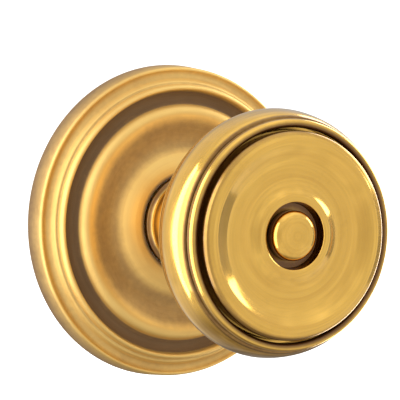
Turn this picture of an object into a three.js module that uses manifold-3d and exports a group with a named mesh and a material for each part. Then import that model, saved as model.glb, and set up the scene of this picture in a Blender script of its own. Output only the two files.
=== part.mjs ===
// A round door knob on a stepped rose: the outer half of a tubular knob set.
//
// The rose covers a mounting plate that clamps to the door. Behind the plate, inside the door's
// bore, a riveted cup holds a hub and a torsion spring that bring the knob back to rest. The knob
// is hollow: a spun back shell, a rim ring and a dished face round a cast core, drawn together by
// the centre boss. Its shank runs in two bushes and carries the square spindle.
//
// Every piece is built on one axis, local +Y, which points out of the door, with the door's face at
// 0. Outlines of turned pieces are (radius, height) pairs. Outlines of flat pieces are drawn as
// seen from the front, x to the right and y up. The exported group turns that axis to -Y, with +Z up.
import * as THREE from "three";
import { mergeVertices } from "three/addons/utils/BufferGeometryUtils.js";
import Module from "manifold-3d";

const wasm = await Module();
wasm.setup();

// Driving dimensions, in millimetres.
const ROSE_RADIUS = 33.3;
const ROSE_HEIGHT = 9.7; // at the lip of the rose's bore
const ROSE_WALL = 1.4;
const KNOB_RADIUS = 25.7;
const KNOB_WIDEST = 43.6; // height of the knob's widest circle
const KNOB_WALL = 1.3;
const PROJECTION = 54; // door to the top of the centre boss
const NECK_RADIUS = 10.2;
const WAIST_RADIUS = 9.2;
const RIM_HEIGHT = 51.7; // top of the rim's bead
const SHANK_RADIUS = 7.4;
const SPINDLE_SQUARE = 8;
const SPINDLE_TAIL = 48; // how far the spindle reaches into the door
const POST_CENTRES = 38.1; // between the two threaded posts
const POST_LENGTH = 17.5;
const PLATE_RADIUS = 30.4;
const PLATE_THICK = 1.6;
const HOUSING_RADIUS = 14.2;
const HOUSING_DEPTH = 9.6;
const HOUSING_WALL = 1.3;
const TRAVEL = 60; // degrees that the knob turns each way
const CLEAR = 0.3; // gap between pieces that touch

// Facets round a full circle.
const LARGE = 32;
const MIDDLE = 24;
const SMALL = 10;

const degrees = THREE.MathUtils.degToRad;

const materials = {
  satinBrass: { color: 0xc79a4b, roughness: 0.38, metalness: 1 },
  polishedBrass: { color: 0xd9a94a, roughness: 0.15, metalness: 1 },
  platedSteel: { color: 0xb9bcc0, roughness: 0.4, metalness: 1 },
  brightSteel: { color: 0xa9acb0, roughness: 0.28, metalness: 1 },
  springSteel: { color: 0x6f7276, roughness: 0.35, metalness: 1 },
  castZinc: { color: 0x8f9296, roughness: 0.6, metalness: 1 },
  nylon: { color: 0xe6e2d6, roughness: 0.55, metalness: 0 },
};
for (const [name, look] of Object.entries(materials))
  materials[name] = new THREE.MeshStandardMaterial(look);

// ---- Geometry helpers -------------------------------------------------------------------------

// The points of an outline drawn by `draw` on a THREE.Path, with `fineness` points on each curve.
function outline(draw, fineness = 4) {
  const path = new THREE.Path();
  draw(path);
  const points = path.getPoints(fineness);
  return points.filter((p, i) => !i || p.distanceTo(points[i - 1]) > 1e-6);
}

// A closed (radius, height) outline turned about the axis.
function turned(points, steps) {
  const closed = [...points];
  const last = closed[closed.length - 1];
  const onAxis = closed[0].x < 1e-6 && last.x < 1e-6;
  if (!onAxis && closed[0].distanceTo(last) > 1e-6) closed.push(closed[0].clone());
  if (THREE.ShapeUtils.area(closed) < 0) closed.reverse();
  return new THREE.LatheGeometry(closed, steps);
}

// A plain ring or disc between two heights.
function ring(inner, outer, low, high, steps) {
  return turned([[inner, low], [outer, low], [outer, high], [inner, high]].map(vector2), steps);
}

function vector2([x, y]) {
  return new THREE.Vector2(x, y);
}

// The corners of a many-sided circle, drawn as seen from the front.
function circle(radius, steps, x = 0, y = 0) {
  return Array.from({ length: steps }, (_, i) => {
    const angle = (2 * Math.PI * i) / steps;
    return new THREE.Vector2(x + radius * Math.cos(angle), y + radius * Math.sin(angle));
  });
}

// A slice of pie from angle `from` to angle `to`, in degrees, drawn as seen from the front.
function sector(radius, from, to, steps = 6) {
  const arc = Array.from({ length: steps + 1 }, (_, i) => {
    const angle = degrees(from + ((to - from) * i) / steps);
    return new THREE.Vector2(radius * Math.cos(angle), radius * Math.sin(angle));
  });
  return [new THREE.Vector2(0, 0), ...arc];
}

// A flat outline, with holes, made solid between two heights.
function flat(points, low, high, holes = []) {
  const shape = new THREE.Shape(points);
  shape.holes = holes.map((hole) => new THREE.Path(hole));
  const geometry = new THREE.ExtrudeGeometry(shape, { depth: high - low, bevelEnabled: false });
  return geometry.rotateX(-Math.PI / 2).translate(0, low, 0);
}

// A box given by its size and its centre: x to the right, then height, then y up.
function box(width, height, depth, x, centre, y) {
  return new THREE.BoxGeometry(width, height, depth).translate(x, centre, -y);
}

// A geometry as a manifold-3d solid, for cutting and joining.
function solid(geometry) {
  const bare = geometry.index ? geometry.toNonIndexed() : geometry.clone();
  bare.deleteAttribute("normal");
  bare.deleteAttribute("uv");
  const merged = mergeVertices(bare, 1e-4);
  const corners = merged.index.array;
  const kept = [];
  for (let i = 0; i < corners.length; i += 3) {
    const [a, b, c] = [corners[i], corners[i + 1], corners[i + 2]];
    if (a !== b && b !== c && c !== a) kept.push(a, b, c);
  }
  const vertProperties = merged.attributes.position.array;
  const triVerts = new Uint32Array(kept);
  return new wasm.Manifold(new wasm.Mesh({ numProp: 3, vertProperties, triVerts }));
}

function geometryOf(made) {
  const mesh = made.getMesh();
  const geometry = new THREE.BufferGeometry();
  geometry.setAttribute("position", new THREE.BufferAttribute(mesh.vertProperties, 3));
  geometry.setIndex(new THREE.BufferAttribute(mesh.triVerts, 1));
  return geometry;
}

// `base` joined with every geometry in `added`, then cut by every geometry in `removed`.
function carve(base, added, removed) {
  let made = solid(base);
  for (const piece of added) made = made.add(solid(piece));
  for (const piece of removed) made = made.subtract(solid(piece));
  return geometryOf(made);
}

const knobSet = new THREE.Group();
knobSet.rotation.x = Math.PI;

function place(name, geometry, material) {
  if (!geometry.getAttribute("normal")) geometry.computeVertexNormals();
  const mesh = new THREE.Mesh(geometry, materials[material]);
  mesh.name = name;
  knobSet.add(mesh);
  return mesh;
}

// ---- Rose and its bush ------------------------------------------------------------------------

const BORE_RADIUS = NECK_RADIUS + 0.4;
const LIP_RADIUS = ROSE_RADIUS - ROSE_WALL - 0.5; // inner lip that the clips snap behind

// Rim, shallow cove, bead, dark groove, dome and dish, then the underside of the pressing.
function rose() {
  const points = outline((p) => {
    p.moveTo(LIP_RADIUS, 0);
    p.lineTo(ROSE_RADIUS, 0);
    p.lineTo(ROSE_RADIUS, 3.7);
    p.quadraticCurveTo(ROSE_RADIUS, 4.4, ROSE_RADIUS - 0.8, 4.4);
    p.quadraticCurveTo(31.2, 3.3, 30.4, 4.3);
    p.bezierCurveTo(30.1, 6.2, 29.6, 7.2, 28.7, 7.2);
    p.lineTo(28.2, 7.1);
    p.lineTo(27.8, 6.4);
    p.lineTo(26.8, 6.35);
    p.bezierCurveTo(25.4, 6.35, 25.3, 8.7, 22.6, 8.7);
    p.bezierCurveTo(20.6, 8.7, 19.6, 7.5, 17.8, 7.5);
    p.bezierCurveTo(15.6, 7.5, 14, ROSE_HEIGHT, 11.6, ROSE_HEIGHT);
    p.lineTo(BORE_RADIUS, 9.3);
    p.lineTo(BORE_RADIUS, 8.1);
    p.lineTo(12.6, 8.1);
    p.lineTo(17.8, 6.1);
    p.lineTo(22.6, 7.1);
    p.lineTo(24.8, 5.1);
    p.lineTo(28.9, 4.9);
    p.lineTo(29.8, 2.8);
    p.lineTo(LIP_RADIUS + 0.5, 2.8);
    p.lineTo(LIP_RADIUS + 0.5, 1.5);
    p.lineTo(LIP_RADIUS, 1.2);
  });
  return turned(points, LARGE);
}

// Nylon ring behind the rose's bore, in which the shank runs.
function roseBush() {
  const points = [[7.7, 6.4], [12.4, 6.4], [12.4, 7.6], [10.3, 7.6], [10.3, 8.7], [7.7, 8.7]];
  return turned(points.map(vector2), MIDDLE);
}

place("rose", rose(), "satinBrass");
place("rose_bush", roseBush(), "nylon");

// ---- Mounting plate, posts, spurs and clips ---------------------------------------------------

const PLATE_BORE = 9.9;
const POST_X = POST_CENTRES / 2;
const POST_NECK = 2.2; // the swaged end of a post
const SPUR_X = 27.4;
const SPUR_RADIUS = 1.1;
const RIVET_RADIUS = 1.1;
const RIVET_CIRCLE = 16.6; // rivets that hold the spring housing
const RIVET_ANGLES = [45, 135, 225, 315];
const CLIP_RIVET_CIRCLE = 23.6;
const CLIP_ANGLES = [90, 210, 330];
const CLIP_WIDTH = 6;

function polar(radius, angle) {
  return [radius * Math.cos(degrees(angle)), radius * Math.sin(degrees(angle))];
}

function mountingPlate() {
  const holes = [circle(PLATE_BORE, MIDDLE)];
  for (const side of [-1, 1]) {
    holes.push(circle(POST_NECK + CLEAR, SMALL, side * POST_X, 0));
    holes.push(circle(SPUR_RADIUS + CLEAR, SMALL, side * SPUR_X, 0));
  }
  for (const angle of RIVET_ANGLES)
    holes.push(circle(RIVET_RADIUS + CLEAR, SMALL, ...polar(RIVET_CIRCLE, angle)));
  for (const angle of CLIP_ANGLES)
    holes.push(circle(RIVET_RADIUS + CLEAR, SMALL, ...polar(CLIP_RIVET_CIRCLE, angle)));
  return flat(circle(PLATE_RADIUS, LARGE), 0, PLATE_THICK, holes);
}

// Flanged nylon bush in the plate's bore.
function bearingBush() {
  const front = PLATE_THICK + CLEAR;
  const points = [[7.7, 0], [9.6, 0], [9.6, front], [11.4, front], [11.4, 3.4], [7.7, 3.4]];
  return turned(points.map(vector2), MIDDLE);
}

// Post swaged into the plate, with a threaded hole in its far end for a bolt from inside.
function post() {
  const head = PLATE_THICK + CLEAR;
  const points = [
    [0, head + 0.9], [3.2, head + 0.9], [3.2, head], [POST_NECK, head], [POST_NECK, -CLEAR],
    [3.5, -CLEAR], [3.5, 0.6 - POST_LENGTH], [2.9, -POST_LENGTH], [1.7, -POST_LENGTH],
    [1.7, 13 - POST_LENGTH], [0, 12.2 - POST_LENGTH],
  ];
  return turned(points.map(vector2), SMALL + 2);
}

// Pointed pin that bites into the door and stops the plate from turning.
function spur() {
  const head = PLATE_THICK + CLEAR;
  const points = [
    [0, head + 0.7], [2, head + 0.7], [2, head], [SPUR_RADIUS, head], [SPUR_RADIUS, -0.9], [0, -2.8],
  ];
  return turned(points.map(vector2), SMALL);
}

// Rivet through the plate from `head` down to a tail at `tail`.
function rivet(head, tail) {
  const points = [
    [0, head + 0.7], [1.1, head + 0.6], [1.8, head], [RIVET_RADIUS, head],
    [RIVET_RADIUS, tail], [1.7, tail], [1.2, tail - 0.6], [0, tail - 0.6],
  ];
  return turned(points.map(vector2), 10);
}

// Leaf clip whose tip snaps behind the rose's lip. Its side view runs out along +X.
function roseClip() {
  const low = PLATE_THICK + CLEAR;
  const high = low + 0.4;
  const tip = LIP_RADIUS + 0.5 - CLEAR;
  const side = [
    [21.4, low], [27.35, low], [28.25, low + 1.6], [29.1, low], [tip, low],
    [tip, high], [29.4, high], [28.5, low + 2.1], [28, low + 2.1], [27, high], [21.4, high],
  ];
  const shape = new THREE.Shape(side.map(vector2));
  const leaf = new THREE.ExtrudeGeometry(shape, { depth: CLIP_WIDTH, bevelEnabled: false });
  leaf.translate(0, 0, -CLIP_WIDTH / 2);
  const hole = flat(circle(RIVET_RADIUS + CLEAR, SMALL, CLIP_RIVET_CIRCLE, 0), 0, 4);
  return carve(leaf, [], [hole]);
}

place("mounting_plate", mountingPlate(), "platedSteel");
place("bearing_bush", bearingBush(), "nylon");
for (const [name, side] of [["left", -1], ["right", 1]]) {
  place(`post_${name}`, post(), "platedSteel").position.x = side * POST_X;
  place(`spur_${name}`, spur(), "brightSteel").position.x = side * SPUR_X;
}
CLIP_ANGLES.forEach((angle, i) => {
  const turn = degrees(angle);
  place(`rose_clip_${i + 1}`, roseClip(), "springSteel").rotation.y = turn;
  const pin = place(`clip_rivet_${i + 1}`, rivet(PLATE_THICK + CLEAR + 0.7, -CLEAR), "brightSteel");
  const [x, y] = polar(CLIP_RIVET_CIRCLE, angle);
  pin.position.set(x, 0, -y);
});

// ---- Spring housing, hub and return spring ----------------------------------------------------

const EAR_RADIUS = 2.7;
const EAR_THICK = 1.2;
const LUG_ANGLE = 90; // the hub's lug points up at rest
const LUG_HALF = 15; // half the lug's width, in degrees
const STOP_HALF = LUG_HALF + TRAVEL + 1.5; // the stops stand just past the lug's travel
const STOP_INNER = 11.5;
const HUB_DISC = 11.2;
const COIL_RADIUS = 10.9;
const WIRE_RADIUS = 0.6;
const COIL_TURNS = 2.5;
const COIL_REAR = -7.5;
const COIL_FRONT = -4.2;
const TANG_ANGLE = LUG_ANGLE - 360 * COIL_TURNS;
const FLAT_HALF = 6.2; // the shank's two flats, from the axis

// Cup riveted behind the plate, with an inner step that stops the hub's lug at each end.
function springHousing() {
  const top = -CLEAR;
  const bottom = -HOUSING_DEPTH;
  const inside = HOUSING_RADIUS - HOUSING_WALL;
  const cup = turned(
    [[8, bottom], [HOUSING_RADIUS - 0.8, bottom], [HOUSING_RADIUS, bottom + 0.8],
     [HOUSING_RADIUS, top], [inside, top], [inside, bottom + 1], [8, bottom + 1]].map(vector2),
    LARGE,
  );
  const step = carve(
    ring(STOP_INNER, inside + 0.4, -2.5, -0.7, LARGE),
    [],
    [flat(sector(20, LUG_ANGLE - STOP_HALF, LUG_ANGLE + STOP_HALF), -4, 0)],
  );
  const ears = [];
  const holes = [];
  for (const angle of RIVET_ANGLES) {
    const [x, y] = polar(RIVET_CIRCLE, angle);
    ears.push(flat(circle(EAR_RADIUS, SMALL, x, y), top - EAR_THICK, top));
    const web = box(4, EAR_THICK, 2 * EAR_RADIUS - 0.4, RIVET_CIRCLE - 2, top - EAR_THICK / 2, 0);
    ears.push(web.rotateY(degrees(angle)));
    holes.push(flat(circle(RIVET_RADIUS + CLEAR, SMALL, x, y), top - 4, top + 1));
  }
  const slot = box(5, 2.6, 2.6, inside + 1, COIL_REAR, 0).rotateY(degrees(TANG_ANGLE));
  return carve(cup, [step, ...ears], [...holes, slot]);
}

// Hub keyed to the shank by two flats. The spring's front leg sits in a hole through its lug.
function hub() {
  const front = -0.9;
  const body = turned(
    [[5, -8.2], [9.3, -8.2], [9.3, -2.3], [HUB_DISC, -2.3], [HUB_DISC, front], [5, front]].map(vector2),
    MIDDLE,
  );
  const lug = flat(sector(12.5, LUG_ANGLE - LUG_HALF, LUG_ANGLE + LUG_HALF), -2.3, front);
  const [x, y] = polar(COIL_RADIUS, LUG_ANGLE);
  const legHole = flat(circle(WIRE_RADIUS + CLEAR, SMALL, x, y), -4, 0);
  const bore = solid(flat(circle(SHANK_RADIUS + 0.2, MIDDLE), -10, 1));
  const keyed = bore.intersect(solid(box(20, 12, 2 * (FLAT_HALF + 0.2), 0, -4.5, 0)));
  return carve(body, [lug], [legHole, geometryOf(keyed)]);
}

// The wire's centre line: rear tang out through the housing, the coil, then forward into the lug.
function springLine() {
  const at = (radius, angle, height) => {
    const [x, y] = polar(radius, angle);
    return new THREE.Vector3(x, height, -y);
  };
  const line = [at(HOUSING_RADIUS + 0.6, TANG_ANGLE, COIL_REAR), at(12.6, TANG_ANGLE, COIL_REAR)];
  const steps = Math.round(COIL_TURNS * 16);
  for (let i = 1; i < steps; i++) {
    const along = i / steps;
    const angle = TANG_ANGLE + 360 * COIL_TURNS * along;
    line.push(at(COIL_RADIUS, angle, COIL_REAR + (COIL_FRONT - COIL_REAR) * along));
  }
  line.push(at(COIL_RADIUS, LUG_ANGLE, COIL_FRONT + 0.9), at(COIL_RADIUS, LUG_ANGLE, -1.2));
  return new THREE.CatmullRomCurve3(line, false, "centripetal");
}

function returnSpring() {
  const section = new THREE.Shape(circle(WIRE_RADIUS, 8));
  return new THREE.ExtrudeGeometry(section, { steps: 56, extrudePath: springLine() });
}

place("spring_housing", springHousing(), "platedSteel");
place("hub", hub(), "brightSteel");
place("return_spring", returnSpring(), "springSteel");
RIVET_ANGLES.forEach((angle, i) => {
  const tail = -(2 * CLEAR + EAR_THICK);
  const pin = place(`housing_rivet_${i + 1}`, rivet(PLATE_THICK + CLEAR, tail), "brightSteel");
  const [x, y] = polar(RIVET_CIRCLE, angle);
  pin.position.set(x, 0, -y);
});

// ---- Retaining ring and thrust washer behind the housing --------------------------------------

const WASHER_FRONT = -HOUSING_DEPTH - CLEAR;
const WASHER_BACK = WASHER_FRONT - 0.8;
const CLIP_RING_FRONT = WASHER_BACK - CLEAR;
const CLIP_RING_BACK = CLIP_RING_FRONT - 1;
const GROOVE_RADIUS = 6.5;

function circlip() {
  const base = ring(GROOVE_RADIUS + CLEAR, 8.8, CLIP_RING_BACK, CLIP_RING_FRONT, MIDDLE);
  const ears = [];
  const cuts = [flat(sector(14, -110, -70), CLIP_RING_BACK - 1, CLIP_RING_FRONT + 1)];
  for (const angle of [-120, -60]) {
    const [x, y] = polar(9, angle);
    ears.push(flat(circle(1.6, SMALL, x, y), CLIP_RING_BACK, CLIP_RING_FRONT));
    cuts.push(flat(circle(0.7, 8, x, y), CLIP_RING_BACK - 1, CLIP_RING_FRONT + 1));
  }
  return carve(base, ears, cuts);
}

place("thrust_washer", ring(SHANK_RADIUS + CLEAR, 11, WASHER_BACK, WASHER_FRONT, MIDDLE), "brightSteel");
place("circlip", circlip(), "springSteel");

// ---- Spindle, core and grub screw -------------------------------------------------------------

const SHANK_END = CLIP_RING_BACK - 1.6;
const SOCKET_END = 18.5;
const GRUB_HEIGHT = 14.6;
const GRUB_RADIUS = 2.2;
const STEM_RADIUS = 1.8;
const STEM_END = 41.5;
const CORE_TOP = 49;

// Cast core: shank with square socket, flats and ring groove, flare, and the post behind the face.
function knobCore() {
  const neck = WAIST_RADIUS - KNOB_WALL - 0.2;
  const points = outline((p) => {
    p.moveTo(0, SHANK_END);
    p.lineTo(SHANK_RADIUS - 0.5, SHANK_END);
    p.lineTo(SHANK_RADIUS, SHANK_END + 0.5);
    p.lineTo(SHANK_RADIUS, CLIP_RING_BACK - 0.15);
    p.lineTo(GROOVE_RADIUS, CLIP_RING_BACK - 0.15);
    p.lineTo(GROOVE_RADIUS, CLIP_RING_FRONT + 0.15);
    p.lineTo(SHANK_RADIUS, CLIP_RING_FRONT + 0.15);
    p.lineTo(SHANK_RADIUS, 9);
    p.lineTo(neck, 9.4);
    p.lineTo(neck, 26);
    p.lineTo(13, 33.4);
    p.lineTo(13, 35);
    p.lineTo(5.8, 37.5);
    p.lineTo(5.8, CORE_TOP);
    p.lineTo(0, CORE_TOP);
  });
  const length = SOCKET_END - SHANK_END + 2;
  const socketSize = SPINDLE_SQUARE + 2 * 0.15;
  const socket = box(socketSize, length, socketSize, 0, SOCKET_END - length / 2, 0);
  const flats = [-1, 1].map((side) => box(20, 13.2, 4, 0, -0.8 - 6.6, side * (FLAT_HALF + 2)));
  const end = flat(circle(STEM_RADIUS + CLEAR, SMALL), STEM_END - 0.5, CORE_TOP + 1);
  const grub = new THREE.CylinderGeometry(GRUB_RADIUS + CLEAR, GRUB_RADIUS + CLEAR, 8, SMALL);
  grub.rotateX(Math.PI / 2).translate(0, GRUB_HEIGHT, 6);
  return carve(turned(points, MIDDLE), [], [socket, ...flats, end, grub]);
}

function spindle() {
  const half = SPINDLE_SQUARE / 2;
  const nose = 1.2;
  const low = nose - SPINDLE_TAIL;
  const high = SOCKET_END - CLEAR;
  const bar = box(SPINDLE_SQUARE, high - low, SPINDLE_SQUARE, 0, (high + low) / 2, 0);
  const taper = new THREE.CylinderGeometry(half * Math.SQRT2, (half - 0.8) * Math.SQRT2, nose, 4);
  taper.rotateY(Math.PI / 4).translate(0, -SPINDLE_TAIL + nose / 2, 0);
  return carve(bar, [taper], []);
}

// Screw on the underside of the neck that grips the spindle.
function grubScrew() {
  const length = 4.6;
  const inner = SPINDLE_SQUARE / 2 + CLEAR;
  const body = new THREE.CylinderGeometry(GRUB_RADIUS, GRUB_RADIUS, length, SMALL);
  const key = new THREE.CylinderGeometry(1.44, 1.44, 2.4, 6).translate(0, length / 2 - 0.2, 0);
  const screw = carve(body, [], [key]);
  return screw.rotateX(Math.PI / 2).translate(0, GRUB_HEIGHT, inner + length / 2);
}

place("knob_core", knobCore(), "castZinc");
place("spindle", spindle(), "brightSteel");
place("grub_screw", grubScrew(), "springSteel");

// ---- Knob: back shell, rim ring, face and centre boss -----------------------------------------

const BEAD_RADIUS = 0.85;
const BEAD_CENTRE = 23.3;
const FACE_RADIUS = 21.3;
const RECESS_RADIUS = 6.9;
const RECESS_FLOOR = 50.6;
const BOSS_RADIUS = 5.05;
const SHELL_FRONT = 49.7;

// Spun brass: root ring, waist, flare, and the bun up to its rim.
function backShell() {
  const bore = WAIST_RADIUS - KNOB_WALL + 0.1;
  const inside = KNOB_RADIUS - KNOB_WALL;
  const points = outline((p) => {
    p.moveTo(bore, 9.1);
    p.lineTo(NECK_RADIUS, 9.1);
    p.lineTo(NECK_RADIUS, 10.5);
    p.quadraticCurveTo(WAIST_RADIUS, 11.2, WAIST_RADIUS, 14);
    p.bezierCurveTo(WAIST_RADIUS, 24, 10.5, 29.4, 16.5, 32.4);
    p.bezierCurveTo(21.2, 34.8, KNOB_RADIUS, 38.2, KNOB_RADIUS, KNOB_WIDEST);
    p.bezierCurveTo(KNOB_RADIUS, 46.2, 25.1, 48.4, 24.3, SHELL_FRONT);
    p.lineTo(23.15, SHELL_FRONT);
    p.quadraticCurveTo(inside, 47, inside, KNOB_WIDEST);
    p.bezierCurveTo(inside, 39.2, 20.8, 36.2, 15.6, 33.6);
    p.bezierCurveTo(10.2, 30.9, bore, 25, bore, 18);
  });
  const grub = new THREE.CylinderGeometry(GRUB_RADIUS + CLEAR, GRUB_RADIUS + CLEAR, 8, SMALL);
  grub.rotateX(Math.PI / 2).translate(0, GRUB_HEIGHT, 9);
  return carve(turned(points, LARGE), [], [grub]);
}

// Bead round the rim, with a ledge that carries the face.
function rimRing() {
  const height = RIM_HEIGHT - BEAD_RADIUS;
  const points = outline((p) => {
    p.moveTo(BEAD_CENTRE - BEAD_RADIUS, height);
    p.absarc(BEAD_CENTRE, height, BEAD_RADIUS, Math.PI, degrees(-35), true);
    p.lineTo(23.8, SHELL_FRONT + CLEAR);
    p.lineTo(22.8, SHELL_FRONT + CLEAR);
    p.lineTo(22.8, 47.4);
    p.lineTo(19.6, 47.4);
    p.lineTo(19.6, 48.6);
    p.lineTo(21.9, 48.6);
  }, 7);
  return turned(points, LARGE);
}

// Pressed face: skirt, rolled edge, crest, dish, collar and the recess round the boss.
function knobFace() {
  const points = outline((p) => {
    p.moveTo(20.1, 48.9);
    p.lineTo(FACE_RADIUS, 48.9);
    p.lineTo(FACE_RADIUS, 51.3);
    p.bezierCurveTo(FACE_RADIUS, 52.6, 20, 53.3, 18.2, 53.3);
    p.bezierCurveTo(16.4, 53.3, 15, 51.5, 12.4, 51.5);
    p.bezierCurveTo(10, 51.5, 9, 52.8, 7.5, 52.8);
    p.lineTo(RECESS_RADIUS, 52.6);
    p.lineTo(RECESS_RADIUS - 0.2, RECESS_FLOOR);
    p.lineTo(STEM_RADIUS + CLEAR, RECESS_FLOOR);
    p.lineTo(STEM_RADIUS + CLEAR, CORE_TOP + CLEAR);
    p.lineTo(8.8, CORE_TOP + CLEAR);
    p.lineTo(12.4, 50.2);
    p.lineTo(18, 51.9);
    p.lineTo(20.1, 51);
  });
  return turned(points, LARGE);
}

// Turned button whose stem screws into the core and holds the face down.
function centreBoss() {
  const base = RECESS_FLOOR + CLEAR;
  const points = outline((p) => {
    p.moveTo(0, PROJECTION);
    p.quadraticCurveTo(2.6, PROJECTION, 3.6, PROJECTION - 0.2);
    p.quadraticCurveTo(BOSS_RADIUS, PROJECTION - 0.5, BOSS_RADIUS, 52.4);
    p.lineTo(BOSS_RADIUS, base);
    p.lineTo(STEM_RADIUS, base);
    p.lineTo(STEM_RADIUS, STEM_END + 0.4);
    p.lineTo(STEM_RADIUS - 0.4, STEM_END);
    p.lineTo(0, STEM_END);
  });
  return turned(points, MIDDLE);
}

place("knob_back_shell", backShell(), "polishedBrass");
place("rim_ring", rimRing(), "polishedBrass");
place("knob_face", knobFace(), "polishedBrass");
place("centre_boss", centreBoss(), "polishedBrass");

export default knobSet;
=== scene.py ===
import math

import bmesh
import bpy
import numpy as np
from mathutils import Matrix, Vector


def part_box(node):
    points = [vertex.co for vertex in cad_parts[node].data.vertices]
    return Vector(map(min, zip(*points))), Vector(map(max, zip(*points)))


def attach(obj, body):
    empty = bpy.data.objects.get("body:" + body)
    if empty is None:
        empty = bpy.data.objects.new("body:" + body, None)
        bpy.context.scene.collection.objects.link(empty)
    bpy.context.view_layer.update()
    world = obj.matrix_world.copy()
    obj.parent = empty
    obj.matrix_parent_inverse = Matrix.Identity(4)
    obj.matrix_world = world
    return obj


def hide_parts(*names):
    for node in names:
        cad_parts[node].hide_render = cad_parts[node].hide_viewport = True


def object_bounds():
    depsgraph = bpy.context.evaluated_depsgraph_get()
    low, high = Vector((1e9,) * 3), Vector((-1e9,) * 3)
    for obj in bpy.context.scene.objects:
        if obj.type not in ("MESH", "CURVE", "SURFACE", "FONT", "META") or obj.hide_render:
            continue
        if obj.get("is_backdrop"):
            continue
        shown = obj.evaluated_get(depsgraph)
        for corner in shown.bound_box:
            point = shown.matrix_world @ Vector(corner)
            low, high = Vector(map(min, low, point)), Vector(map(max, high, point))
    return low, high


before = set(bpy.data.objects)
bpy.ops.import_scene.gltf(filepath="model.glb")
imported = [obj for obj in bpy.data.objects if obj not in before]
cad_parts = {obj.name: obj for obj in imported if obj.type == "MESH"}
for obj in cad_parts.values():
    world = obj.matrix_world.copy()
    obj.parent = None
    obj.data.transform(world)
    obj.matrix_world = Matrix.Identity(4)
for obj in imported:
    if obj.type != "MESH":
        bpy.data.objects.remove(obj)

CAD_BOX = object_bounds()
MM = 0.001
TURN_STEPS = 288  # facets round a large turned piece
SMALL_STEPS = 48
SLIVER = 2e-6  # in metres: points closer than this after a cut become one
GRUB_HEIGHT = 14.6  # the grub screw's place along the neck
RIVETS = [f"clip_rivet_{i}" for i in (1, 2, 3)] + [f"housing_rivet_{i}" for i in (1, 2, 3, 4)]


# ---- Sizes taken from the frame ----------------------------------------------------------------

def extent(node):
    """(radius across X, lowest height, highest height) of a CAD node, in millimetres."""
    low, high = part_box(node)
    return (high.x - low.x) / 2 / MM, -high.y / MM, -low.y / MM


def middle(node):
    """(x, height, z) of the middle of a CAD node's box, in millimetres."""
    low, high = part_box(node)
    centre = (low + high) / 2 / MM
    return centre.x, -centre.y, centre.z


# ---- Outlines ----------------------------------------------------------------------------------

def smooth(points, steps=14):
    """A natural cubic spline through points in a plane or in space, with no visible break."""
    p = np.array(points, float)
    n = len(p)
    chord = np.sqrt(np.linalg.norm(np.diff(p, axis=0), axis=1))
    matrix = np.eye(n)
    right = np.zeros_like(p)
    for i in range(1, n - 1):
        matrix[i, i - 1 : i + 2] = chord[i - 1], 2 * (chord[i - 1] + chord[i]), chord[i]
        right[i] = 6 * ((p[i + 1] - p[i]) / chord[i] - (p[i] - p[i - 1]) / chord[i - 1])
    bend = np.linalg.solve(matrix, right)
    line = []
    for i in range(n - 1):
        h = chord[i]
        for t in np.linspace(0, h, steps, endpoint=False):
            a, b = h - t, t
            line.append(
                (bend[i] * a**3 + bend[i + 1] * b**3) / (6 * h)
                + (p[i] / h - bend[i] * h / 6) * a
                + (p[i + 1] / h - bend[i + 1] * h / 6) * b
            )
    return [tuple(q) for q in line] + [tuple(p[-1])]


def arc(x, y, radius, start, end, steps=16):
    """Points on a circle about (x, y), between two angles in degrees."""
    angles = np.radians(np.linspace(start, end, steps))
    return [(x + radius * math.cos(a), y + radius * math.sin(a)) for a in angles]


def eased(points, reach, closed=True, sharp=24, steps=5):
    """The outline with every sharp corner rounded over `reach` millimetres to each side."""
    p = [np.array(q, float) for q in points]
    p = [q for i, q in enumerate(p) if i == 0 or np.linalg.norm(q - p[i - 1]) > 1e-5]
    if closed and np.linalg.norm(p[0] - p[-1]) < 1e-5:
        p.pop()
    n = len(p)
    line = []
    for i, corner in enumerate(p):
        if not closed and i in (0, n - 1):
            line.append(corner)
            continue
        before, after = p[i - 1] - corner, p[(i + 1) % n] - corner
        a, b = np.linalg.norm(before), np.linalg.norm(after)
        turn = math.degrees(math.acos(np.clip(-before @ after / (a * b), -1, 1)))
        if turn < sharp:
            line.append(corner)
            continue
        start = corner + before / a * min(reach, a * 0.45)
        end = corner + after / b * min(reach, b * 0.45)
        for t in np.linspace(0, 1, steps):
            line.append(start * (1 - t) ** 2 + corner * 2 * t * (1 - t) + end * t**2)
    return [tuple(q) for q in line]


# ---- Mesh makers -------------------------------------------------------------------------------

def piece(name, mesh, body, slot, material, *nodes):
    """Links a mesh as a piece that rides on a body and stands for CAD nodes."""
    obj = bpy.data.objects.new(name, mesh)
    bpy.context.scene.collection.objects.link(obj)
    mesh.materials.append(material)
    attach(obj, body)
    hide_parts(*nodes)


def finished(name, bm, sharp=30):
    """A mesh from bm with clean outward faces, smooth except at its sharp edges."""
    bmesh.ops.remove_doubles(bm, verts=bm.verts, dist=1e-7)
    bmesh.ops.recalc_face_normals(bm, faces=bm.faces)
    mesh = bpy.data.meshes.new(name)
    bm.to_mesh(mesh)
    bm.free()
    for polygon in mesh.polygons:
        polygon.use_smooth = True
    mesh.set_sharp_from_angle(angle=math.radians(sharp))
    return mesh


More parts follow.
